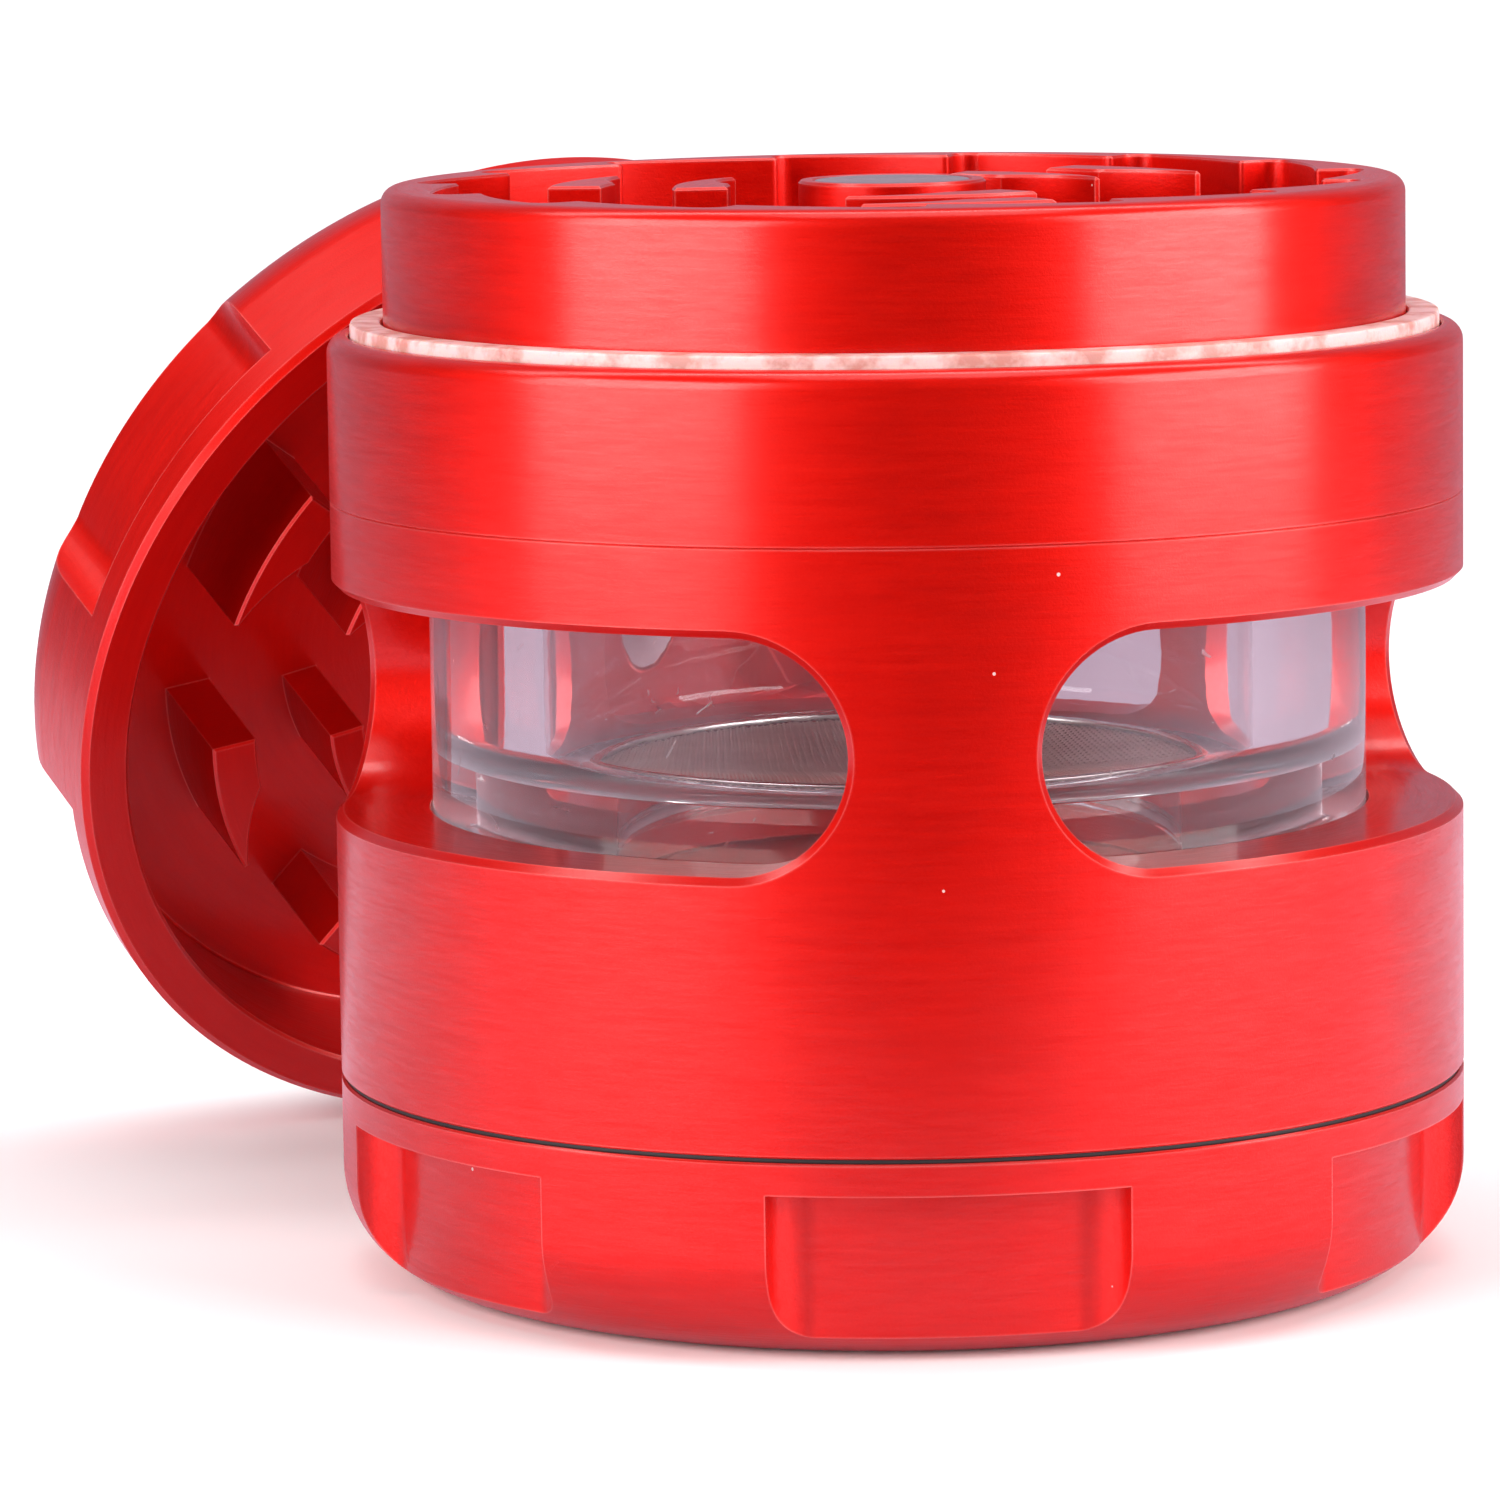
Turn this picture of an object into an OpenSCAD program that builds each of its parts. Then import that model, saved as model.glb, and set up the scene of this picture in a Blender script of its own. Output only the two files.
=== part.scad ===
// Four-piece metal herb and spice grinder with three windows over a clear insert.
// The stack stands upright; the lid is off and leans on the toothed plate's collar.
// Frame: +Z up, origin at the centre of the base cup's foot, -Y is the front.

/* [Overall] */
// Outer radius of every aluminium ring
body_r = 31.5; // [25:0.5:40]
// Radius of the big rounded edge under the base and on the lid
edge_round = 6.0; // [3:0.5:6]
// Radial play of a thread shown as a plain fit
thread_play = 0.1; // [0.05:0.01:0.2]
// How far a thread's spigot reaches into its mate
thread_reach = 3.1; // [2.5:0.1:3.3]

/* [Grip dimples] */
// Number of grip dimples round the base and round the lid
dimple_count = 6; // [4:1:8]
// Depth of a dimple
dimple_depth = 2.2; // [0.5:0.1:2.4]
// Radius of the cutter that mills a dimple's ends
dimple_cutter_r = 2.5; // [2.4:0.1:4]
// Half of the angle that a dimple's floor spans
dimple_half_angle = 13.3; // [8:0.1:16]
// Plain band between a dimple and the ring's open edge
dimple_band = 2.0; // [1:0.1:4]

/* [Base cup] */
// Height of the base cup, with the washer on it
base_h = 11.3; // [10:0.1:16]
// Thickness of the cup's floor
base_floor = 2.6; // [1.5:0.1:4]
// Radius of the cup's hollow
cup_r = 25.0; // [20:0.5:25.4]
// Rounding inside the cup, where wall and floor meet
cup_round = 3.5; // [1:0.5:4]
// Radius of the thread bore in the cup's mouth
base_thread_r = 27.1; // [26:0.1:27.6]
// Thickness of the black sealing washer
washer_t = 0.25; // [0.2:0.05:0.5]

/* [Window housing] */
// Height of the housing
housing_h = 32.0; // [28:0.5:40]
// Number of windows
window_count = 3; // [3:1:4]
// Height of a window
window_h = 12.56; // [8:0.02:14]
// Height of the window's middle above the housing's lower edge
window_mid = 21.0; // [18:0.1:21.2]
// Half angle of the pillar between two windows, at mid height
pillar_half_angle = 9.5; // [6:0.1:16]
// Radius of the bore that holds the clear insert
insert_bore_r = 26.25; // [26.2:0.01:26.6]
// Radius of the bore below the shelf
drop_bore_r = 24.6; // [22:0.1:24.8]
// Radius of the opening in the shelf
shelf_r = 20.5; // [18:0.1:21]
// Top of the shelf above the housing's lower edge
shelf_z = 12.1; // [11:0.1:12.4]
// Thickness of the shelf
shelf_t = 2.0; // [1:0.1:3]

/* [Insert and screen] */
// Outer radius of the clear insert
insert_r = 26.1; // [25.8:0.01:26.15]
// Radius of the insert's bore
insert_bore = 19.8; // [18.5:0.1:21]
// Concave rounding at the foot of the insert's bore
insert_round = 2.2; // [1:0.1:2.5]
// Height of the insert's inner ledge above the insert's foot
insert_ledge = 4.0; // [3:0.1:5]
// Inner radius of the ledge
ledge_r = 15.8; // [14:0.1:16.2]
// Thickness of each flat seal under and over the insert
seal_t = 0.8; // [0.5:0.05:0.8]
// Radius of the screen
screen_r = 17.4; // [16.8:0.05:17.5]
// Thickness of the woven screen
screen_t = 0.3; // [0.2:0.05:0.4]
// Width of the flat ring that holds the screen down
screen_ring_w = 0.7; // [0.5:0.1:1]
// Thickness of that ring
screen_ring_t = 0.35; // [0.3:0.05:0.6]

/* [Grinding plate] */
// Height of the plate's flange
flange_h = 9.2; // [8.5:0.1:12]
// Height of the collar above the flange
collar_h = 8.1; // [7.9:0.1:8.3]
// Outer radius of the collar
collar_r = 28.35; // [28.2:0.05:28.45]
// Radius of the scallops at their deepest
scallop_r = 26.8; // [26.6:0.05:27]
// Radius at the tips between the scallops
scallop_tip_r = 24.1; // [23.8:0.05:24.6]
// Number of scallops
scallop_count = 15; // [12:1:18]
// Depth of the toothed cavity below the collar's top
cavity_d = 8.6; // [8:0.1:9]
// Depth of the recess on the plate's underside
under_recess = 3.2; // [2:0.1:4]
// Wall of the plate's threaded spigot
plate_spigot_wall = 4.0; // [3:0.1:5]
// Radius of the plate's boss
boss_r = 5.2; // [5:0.1:5.6]
// Radius of both magnets
magnet_r = 4.4; // [3.5:0.1:4.5]
// Thickness of both magnets
magnet_t = 2.6; // [1.5:0.1:3]
// Thickness of the slip ring
slip_t = 1.2; // [0.9:0.1:1.4]
// Height of the slip ring that stands above the flange
slip_proud = 0.7; // [0.5:0.1:0.8]
// Outer radius of the slip ring
slip_r = 30.2; // [29.8:0.05:30.4]

/* [Lid] */
// Height of the lid
lid_h = 12.85; // [12:0.05:16]
// Radius of the recess that drops over the collar
lid_recess_r = 28.6; // [28.5:0.05:28.8]
// Depth of that recess
lid_recess_d = 8.4; // [8.2:0.05:8.6]
// Height of the lid's teeth
lid_tooth_h = 7.5; // [5:0.1:7.6]
// Number of teeth in each of the lid's two rings
lid_tooth_count = 8; // [6:1:9]

/* [Lid's resting place] */
// Rim centre, left and right of the stack's axis
lid_x = -17.3; // [-20:0.1:-15]
// Rim centre, behind the stack's axis
lid_y = 38.0; // [37.4:0.1:45]
// Compass direction that the lid's open side faces
lid_az = -65.3; // [-70:0.1:-60]
// Lean of the rim from upright, towards the stack
lid_lean = 23.7; // [15:0.1:24]
// Turn of the lid about its own axis
lid_roll = 32.9; // [0:0.1:59]

/* [Hidden] */
$fn = 96;
far_r = body_r + 4;
rim_break = 0.4;
end_dip = 0.05;
flange_round = 1.0;
collar_round = 0.9;
housing_z = base_h;
seam_z = housing_z + housing_h;
flange_z = seam_z + flange_h;
rim_z = flange_z + collar_h;
cavity_z = rim_z - cavity_d;
spigot_z = housing_z - thread_reach;
base_spigot_r = base_thread_r - thread_play;
thread_floor = spigot_z - 0.6;
top_thread_r = 28.6;
top_thread_z = seam_z - thread_reach - 0.3;
plate_spigot_r = top_thread_r - thread_play;
plate_spigot_z = seam_z - thread_reach;
shelf_top = housing_z + shelf_z;
insert_z = shelf_top + seal_t;
top_seal_z = plate_spigot_z - seal_t;
ledge_z = insert_z + insert_ledge;
washer_r = body_r - 0.2;
collar_washer_t = 0.6;
collar_washer_r = 30.0;
collar_washer_w = 1.3;
washer_play = 0.1;
window_z = housing_z + window_mid;
window_step = 0.02;
window_end_angle = asin(window_h / 2 / body_r);
window_half = 180 / window_count - pillar_half_angle - window_end_angle;
slip_z = flange_z - (slip_t - slip_proud);
slip_play = 0.12;
scallop_step = 360 / scallop_count;
scallop_shift = 6.6;
scallop_start = -90.5;
scallop_lag = 90 - scallop_step;
scallop_cut_r = norm([scallop_r - scallop_shift * cos(scallop_lag), scallop_shift * sin(scallop_lag)]);
fin_top = rim_z - 0.25;
tip_w = 0.3;
outer_lane_holes = 18;
inner_lane_holes = 10;
core_lane_holes = 6;
outer_lane_r = 21.6;
inner_lane_r = 14.2;
core_lane_r = 7.3;
outer_hole_r = 2.1;
inner_hole_r = 1.7;
core_hole_r = 1.3;
lid_tilt = 90 + lid_lean;
lid_z = body_r * cos(lid_lean) - rim_break * sin(lid_lean) + 0.02;

// A flat-topped disc's half section with one big rounded lower edge
module rounded_section(r, h, f) {
    translate([0, f]) square([r, h - f]);
    square([r - f, h]);
    intersection() {
        translate([r - f, f]) circle(r = f);
        square([r, f]);
    }
}

// A pie slice from angle a0 to angle a1, less than half a turn wide
module slice(a0, a1) {
    reach = far_r / cos((a1 - a0) / 4);
    mid = (a0 + a1) / 2;
    polygon([[0, 0], for (a = [a0, mid, a1]) reach * [cos(a), sin(a)]]);
}

// Grip dimples cut from below z_top, with flat ledges at z_top
module dimples(z_top) {
    floor_r = body_r - dimple_depth;
    track_r = floor_r + dimple_cutter_r - end_dip;
    for (i = [0 : dimple_count - 1]) rotate([0, 0, -90 + i * 360 / dimple_count])
        translate([0, 0, -1]) linear_extrude(height = z_top + 1) difference() {
            union() {
                slice(-dimple_half_angle, dimple_half_angle);
                for (side = [-1, 1]) rotate(side * dimple_half_angle)
                    translate([track_r, 0]) circle(r = dimple_cutter_r);
            }
            circle(r = floor_r);
        }
}

// A curved shark-fin tooth: full width at angle 0, thinning to a tip at angle span
module fin(r_in, r_out, span, z0, z1) {
    inner = r_in * [cos(span * 0.42), sin(span * 0.42)];
    tip = (r_out - tip_w) * [cos(span), sin(span)];
    cut_r = r_in * 0.62;
    chord = tip - inner;
    half = norm(chord) / 2;
    away = [-chord[1], chord[0]] / norm(chord);
    centre = (inner + tip) / 2 + away * sqrt(cut_r * cut_r - half * half);
    translate([0, 0, z0]) linear_extrude(height = z1 - z0) intersection() {
        difference() {
            circle(r = r_out);
            circle(r = r_in);
            translate(centre) circle(r = cut_r);
        }
        slice(0, span);
    }
}

module base_cup() color("firebrick") difference() {
    rotate_extrude() difference() {
        rounded_section(body_r, base_h - washer_t, edge_round);
        translate([0, base_floor]) rounded_section(cup_r, base_h, cup_round);
        translate([0, thread_floor]) square([base_thread_r, base_h]);
    }
    dimples(base_h - dimple_band);
}

module base_washer() color("black") translate([0, 0, base_h - washer_t]) difference() {
    cylinder(r = washer_r, h = washer_t);
    translate([0, 0, -1]) cylinder(r = base_spigot_r + washer_play, h = washer_t + 2);
}

// One window: two round ends milled radially and the slot between them
module window() {
    for (side = [-1, 1]) rotate([0, 0, side * window_half]) translate([insert_bore_r - 8, 0, window_z])
        rotate([0, 90, 0]) cylinder(r = window_h / 2, h = 20);
    translate([0, 0, window_z - window_h / 2 + window_step]) linear_extrude(height = window_h - 2 * window_step)
        slice(-window_half, window_half);
}

module window_housing() color("firebrick") difference() {
    rotate_extrude() difference() {
        union() {
            translate([0, housing_z]) square([body_r, housing_h]);
            translate([0, spigot_z]) square([base_spigot_r, thread_reach + 1]);
        }
        translate([0, spigot_z - 1]) square([drop_bore_r, shelf_top - shelf_t - spigot_z + 1]);
        translate([0, spigot_z - 1]) square([shelf_r, housing_h + 10]);
        translate([0, shelf_top]) square([insert_bore_r, housing_h]);
        translate([0, top_thread_z]) square([top_thread_r, housing_h]);
        translate([0, seam_z - collar_washer_t]) square([collar_washer_r, housing_h]);
    }
    for (i = [0 : window_count - 1]) rotate([0, 0, -90 + (i + 0.5) * 360 / window_count]) window();
}

module flat_seal(z) color("whitesmoke") translate([0, 0, z]) difference() {
    cylinder(r = insert_r, h = seal_t);
    translate([0, 0, -1]) cylinder(r = shelf_r + 0.3, h = seal_t + 2);
}

module clear_insert() color("lightcyan", 0.4) rotate_extrude() difference() {
    translate([ledge_r, insert_z]) square([insert_r - ledge_r, top_seal_z - insert_z]);
    translate([0, ledge_z]) rounded_section(insert_bore, housing_h, insert_round);
}

module screen() color("darkgoldenrod") translate([0, 0, ledge_z]) cylinder(r = screen_r, h = screen_t);

module screen_ring() color("silver") translate([0, 0, ledge_z + screen_t]) difference() {
    cylinder(r = screen_r, h = screen_ring_t);
    translate([0, 0, -1]) cylinder(r = screen_r - screen_ring_w, h = screen_ring_t + 2);
}

module collar_washer() color("black") translate([0, 0, seam_z - collar_washer_t]) difference() {
    cylinder(r = collar_washer_r - washer_play, h = collar_washer_t);
    translate([0, 0, -1]) cylinder(r = collar_washer_r - collar_washer_w, h = collar_washer_t + 2);
}

// The toothed cavity: each scallop is deepest at one end and closes in to a tip at the other
module scallops() translate([0, 0, cavity_z]) linear_extrude(height = cavity_d + 1) {
    circle(r = scallop_tip_r);
    for (i = [0 : scallop_count - 1]) rotate(scallop_start + i * scallop_step) intersection() {
        slice(-scallop_step, 0);
        rotate(scallop_lag) translate([scallop_shift, 0]) circle(r = scallop_cut_r);
    }
}

module plate_fins(count, start, r_in, r_out, span) {
    for (i = [0 : count - 1]) rotate([0, 0, -90 + start + i * 360 / count]) mirror([0, 1, 0])
        fin(r_in, r_out, span, cavity_z - 1, fin_top);
}

module hole_ring(count, lane_r, hole_r) {
    for (i = [0 : count - 1]) rotate([0, 0, (i + 0.5) * 360 / count])
        translate([lane_r, 0, plate_spigot_z - 1]) cylinder(r = hole_r, h = flange_h + thread_reach + 2);
}

module grinding_plate() color("firebrick") difference() {
    union() {
        difference() {
            rotate_extrude() difference() {
                union() {
                    translate([0, seam_z]) square([body_r, flange_h - flange_round]);
                    translate([0, seam_z]) square([body_r - flange_round, flange_h]);
                    translate([body_r - flange_round, flange_z - flange_round]) circle(r = flange_round);
                    translate([0, plate_spigot_z]) square([plate_spigot_r, thread_reach + 1]);
                    translate([0, flange_z - 1]) square([collar_r, collar_h + 1 - collar_round]);
                    translate([0, flange_z - 1]) square([collar_r - collar_round, collar_h + 1]);
                    translate([collar_r - collar_round, rim_z - collar_round]) circle(r = collar_round);
                }
                translate([0, plate_spigot_z - 1])
                    square([plate_spigot_r - plate_spigot_wall, thread_reach + under_recess + 1]);
                translate([collar_r, slip_z]) square([slip_r + slip_play - collar_r, slip_t + 1]);
            }
            scallops();
        }
        plate_fins(3, 22.5, 16.2, 19.2, 32);
        plate_fins(3, 35.5, 9.2, 12.2, 52);
        translate([0, 0, cavity_z - 1]) cylinder(r = boss_r, h = cavity_d + 1);
    }
    translate([0, 0, rim_z - magnet_t]) cylinder(r = magnet_r, h = magnet_t + 1);
    hole_ring(outer_lane_holes, outer_lane_r, outer_hole_r);
    hole_ring(inner_lane_holes, inner_lane_r, inner_hole_r);
    hole_ring(core_lane_holes, core_lane_r, core_hole_r);
}

module plate_magnet() color("silver") translate([0, 0, rim_z - magnet_t]) cylinder(r = magnet_r, h = magnet_t);

module slip_ring() color("white") translate([0, 0, slip_z]) difference() {
    cylinder(r = slip_r, h = slip_t);
    translate([0, 0, -1]) cylinder(r = collar_r + slip_play, h = slip_t + 2);
}

// Puts a child made open side up, rim at z = 0, into the lid's resting place
module leaning() translate([lid_x, lid_y, lid_z]) rotate([0, lid_tilt, lid_az]) rotate([0, 0, lid_roll]) children();

module lid_fins(start, r_in, r_out, span) {
    for (i = [0 : lid_tooth_count - 1]) rotate([0, 0, start + i * 360 / lid_tooth_count])
        fin(r_in, r_out, span, -lid_recess_d - 1, -lid_recess_d + lid_tooth_h);
}

module lid() color("firebrick") leaning() difference() {
    union() {
        difference() {
            translate([0, 0, -lid_h]) rotate_extrude() difference() {
                rounded_section(body_r, lid_h, edge_round);
                translate([0, lid_h - lid_recess_d]) square([lid_recess_r, lid_h]);
                translate([body_r - rim_break, lid_h]) rotate(-45) square([3, 1.5]);
            }
            translate([0, 0, -lid_h]) dimples(lid_h - dimple_band - 0.3);
        }
        lid_fins(22.3, 20.0, 22.8, 23.5);
        lid_fins(26.3, 13.0, 15.2, 18.5);
    }
    translate([0, 0, -lid_recess_d - magnet_t]) cylinder(r = magnet_r + 0.05, h = magnet_t + 1);
}

module lid_magnet() color("silver") leaning() translate([0, 0, -lid_recess_d - magnet_t])
    cylinder(r = magnet_r, h = magnet_t);

base_cup();
base_washer();
window_housing();
flat_seal(shelf_top);  // lower_seal
clear_insert();
screen();
screen_ring();
flat_seal(top_seal_z);  // upper_seal
collar_washer();
grinding_plate();
plate_magnet();
slip_ring();
lid();
lid_magnet();
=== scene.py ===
import math
import bmesh
import bpy
from mathutils import Matrix, Quaternion, Vector


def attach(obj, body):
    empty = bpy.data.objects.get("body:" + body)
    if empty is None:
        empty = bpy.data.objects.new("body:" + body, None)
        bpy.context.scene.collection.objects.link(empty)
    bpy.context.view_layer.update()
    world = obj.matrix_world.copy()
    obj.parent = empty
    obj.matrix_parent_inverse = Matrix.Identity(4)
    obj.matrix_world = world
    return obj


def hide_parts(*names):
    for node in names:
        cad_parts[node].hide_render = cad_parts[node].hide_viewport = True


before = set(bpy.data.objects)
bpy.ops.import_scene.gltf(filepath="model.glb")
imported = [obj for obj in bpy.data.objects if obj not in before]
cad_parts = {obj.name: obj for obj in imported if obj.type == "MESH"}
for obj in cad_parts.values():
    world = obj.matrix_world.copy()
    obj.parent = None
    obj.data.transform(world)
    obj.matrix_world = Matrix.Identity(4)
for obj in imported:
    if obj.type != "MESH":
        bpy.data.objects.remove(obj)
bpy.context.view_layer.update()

mm = 0.001
scene = bpy.context.scene
print("frame loaded,", len(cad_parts), "nodes")


def polar(r, degrees):
    a = math.radians(degrees)
    return (r * math.cos(a), r * math.sin(a))


def addObject(name, verts, faces=(), edges=()):
    mesh = bpy.data.meshes.new(name)
    mesh.from_pydata([tuple(c * mm for c in v) for v in verts], list(edges), list(faces))
    thing = bpy.data.objects.new(name, mesh)
    scene.collection.objects.link(thing)
    return thing


def applyModifiers(thing):  # the evaluated shape becomes the plain mesh
    graph = bpy.context.evaluated_depsgraph_get()
    shaped = bpy.data.meshes.new_from_object(thing.evaluated_get(graph))
    thing.modifiers.clear()
    thing.data = shaped
    return thing


def roundCorners(points):
    # points are (x, y, size, steps); one step is a chamfer, more make a round
    out = []
    count = len(points)
    for i, (x, y, size, steps) in enumerate(points):
        here = Vector((x, y))
        if size <= 0:
            out.append((x, y))
            continue
        before = Vector(points[i - 1][:2]) - here
        after = Vector(points[(i + 1) % count][:2]) - here
        before.normalize()
        after.normalize()
        half = before.angle(after) / 2
        if steps == 1:
            out += [tuple(here + before * size), tuple(here + after * size)]
            continue
        run = size / math.tan(half)
        start, end = here + before * run, here + after * run
        middle = here + (before + after).normalized() * (size / math.sin(half))
        a, b = start - middle, end - middle
        turn = math.atan2(a.x * b.y - a.y * b.x, a.dot(b))
        for k in range(steps + 1):
            t = turn * k / steps
            out.append((middle.x + a.x * math.cos(t) - a.y * math.sin(t),
                        middle.y + a.x * math.sin(t) + a.y * math.cos(t)))
    return out


def loftRings(name, rings):  # closed shell through rings with equal point counts, capped flat
    n = len(rings[0])
    verts = [v for ring in rings for v in ring]
    faces = [tuple(reversed(range(n))), tuple(range((len(rings) - 1) * n, len(rings) * n))]
    for k in range(len(rings) - 1):
        for i in range(n):
            j = (i + 1) % n
            faces.append((k * n + i, k * n + j, (k + 1) * n + j, (k + 1) * n + i))
    return faceOut(addObject(name, verts, faces))


def insetOutline(points, depth):  # moves every point inwards, for a broken edge
    out = []
    n = len(points)
    area = sum(points[i - 1][0] * points[i][1] - points[i][0] * points[i - 1][1] for i in range(n))
    side = 1 if area > 0 else -1
    for i in range(n):
        a, b, c = Vector(points[i - 1]), Vector(points[i]), Vector(points[(i + 1) % n])
        u, v = (b - a).normalized(), (c - b).normalized()
        normal = Vector((-u.y - v.y, u.x + v.x)).normalized() * side
        lean = max(0.35, normal.dot(Vector((-u.y, u.x)) * side))
        p = b + normal * (depth / lean)
        out.append((p.x, p.y))
    return out


def prism(name, outline, low, high, breakTop=0.0):
    rings = [[(x, y, low) for x, y in outline]]
    if breakTop > 0:
        rings.append([(x, y, high - breakTop) for x, y in outline])
        rings.append([(x, y, high) for x, y in insetOutline(outline, breakTop)])
    elif breakTop < 0:  # a cutter that flares where it leaves the metal
        rings.append([(x, y, high + breakTop) for x, y in outline])
        rings.append([(x, y, high + 0.02) for x, y in insetOutline(outline, breakTop - 0.02)])
    else:
        rings.append([(x, y, high) for x, y in outline])
    return loftRings(name, rings)


def faceOut(thing):
    work = bmesh.new()
    work.from_mesh(thing.data)
    bmesh.ops.remove_doubles(work, verts=work.verts, dist=1e-7)
    bmesh.ops.recalc_face_normals(work, faces=work.faces)
    if work.calc_volume(signed=True) < 0:
        bmesh.ops.reverse_faces(work, faces=work.faces)
    work.to_mesh(thing.data)
    work.free()
    return thing


def cutAway(thing, cutter):
    step = thing.modifiers.new("cut", "BOOLEAN")
    step.operation = "DIFFERENCE"
    step.solver = "EXACT"
    step.object = cutter
    applyModifiers(thing)
    bpy.data.objects.remove(cutter)
    return thing


def joinInto(thing, others):
    work = bmesh.new()
    work.from_mesh(thing.data)
    for other in others:
        work.from_mesh(other.data)
        bpy.data.objects.remove(other)
    work.to_mesh(thing.data)
    work.free()
    return thing


def startTree(name, inputs):
    tree = bpy.data.node_groups.new(name, "GeometryNodeTree")
    tree.interface.new_socket("Geometry", in_out="INPUT", socket_type="NodeSocketGeometry")
    for label, kind in inputs:
        tree.interface.new_socket(label, in_out="INPUT", socket_type="NodeSocket" + kind)
    tree.interface.new_socket("Geometry", in_out="OUTPUT", socket_type="NodeSocketGeometry")
    return tree, tree.nodes.new("NodeGroupInput"), tree.nodes.new("NodeGroupOutput")


def addNode(tree, kind, links=None, **settings):
    node = tree.nodes.new(kind)
    for key, value in settings.items():
        setattr(node, key, value)
    for key, source in (links or {}).items():
        if isinstance(source, bpy.types.NodeSocket):
            tree.links.new(source, node.inputs[key])
        else:
            node.inputs[key].default_value = source
    return node


def calc(tree, operation, *values):
    node = addNode(tree, "ShaderNodeMath", dict(enumerate(values)), operation=operation)
    return node.outputs[0]


def endTree(tree, groupIn, groupOut, geometry):  # real geometry with its finish on it
    realised = addNode(tree, "GeometryNodeRealizeInstances", {"Geometry": geometry})
    dressed = addNode(tree, "GeometryNodeSetMaterial",
                      {"Geometry": realised.outputs[0], "Material": groupIn.outputs["Material"]})
    tree.links.new(dressed.outputs[0], groupOut.inputs[0])


def runTree(thing, tree, **values):
    step = thing.modifiers.new(tree.name, "NODES")
    step.node_group = tree
    for socket in tree.interface.items_tree:
        key = socket.name.replace(" ", "")
        key = key[0].lower() + key[1:]
        if socket.in_out == "INPUT" and key in values:
            step[socket.identifier] = values[key]
    return applyModifiers(thing)


def makeLatheTree():  # a section swept once round the axis, like a turned part
    tree, groupIn, groupOut = startTree("turned on a lathe", [
        ("Path Radius", "Float"), ("Segments", "Int"), ("Material", "Material")])
    section = addNode(tree, "GeometryNodeMeshToCurve", {"Mesh": groupIn.outputs["Geometry"]})
    path = addNode(tree, "GeometryNodeCurvePrimitiveCircle", {
        "Resolution": groupIn.outputs["Segments"], "Radius": groupIn.outputs["Path Radius"]})
    swept = addNode(tree, "GeometryNodeCurveToMesh", {
        "Curve": path.outputs[0], "Profile Curve": section.outputs[0]})
    closed = addNode(tree, "GeometryNodeMergeByDistance", {
        "Geometry": swept.outputs[0], "Distance": 0.00001})
    endTree(tree, groupIn, groupOut, closed.outputs[0])
    return tree


def makeRingTree():  # one item repeated round the axis
    tree, groupIn, groupOut = startTree("ring of items", [
        ("Count", "Int"), ("Start Angle", "Float"), ("Material", "Material")])
    spots = addNode(tree, "GeometryNodePoints", {"Count": groupIn.outputs["Count"]})
    index = addNode(tree, "GeometryNodeInputIndex").outputs[0]
    step = calc(tree, "DIVIDE", 2 * math.pi, groupIn.outputs["Count"])
    angle = calc(tree, "MULTIPLY_ADD", index, step, groupIn.outputs["Start Angle"])
    turn = addNode(tree, "ShaderNodeCombineXYZ", {"Z": angle})
    placed = addNode(tree, "GeometryNodeInstanceOnPoints", {
        "Points": spots.outputs[0], "Instance": groupIn.outputs["Geometry"],
        "Rotation": turn.outputs[0]})
    endTree(tree, groupIn, groupOut, placed.outputs[0])
    return tree


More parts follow.
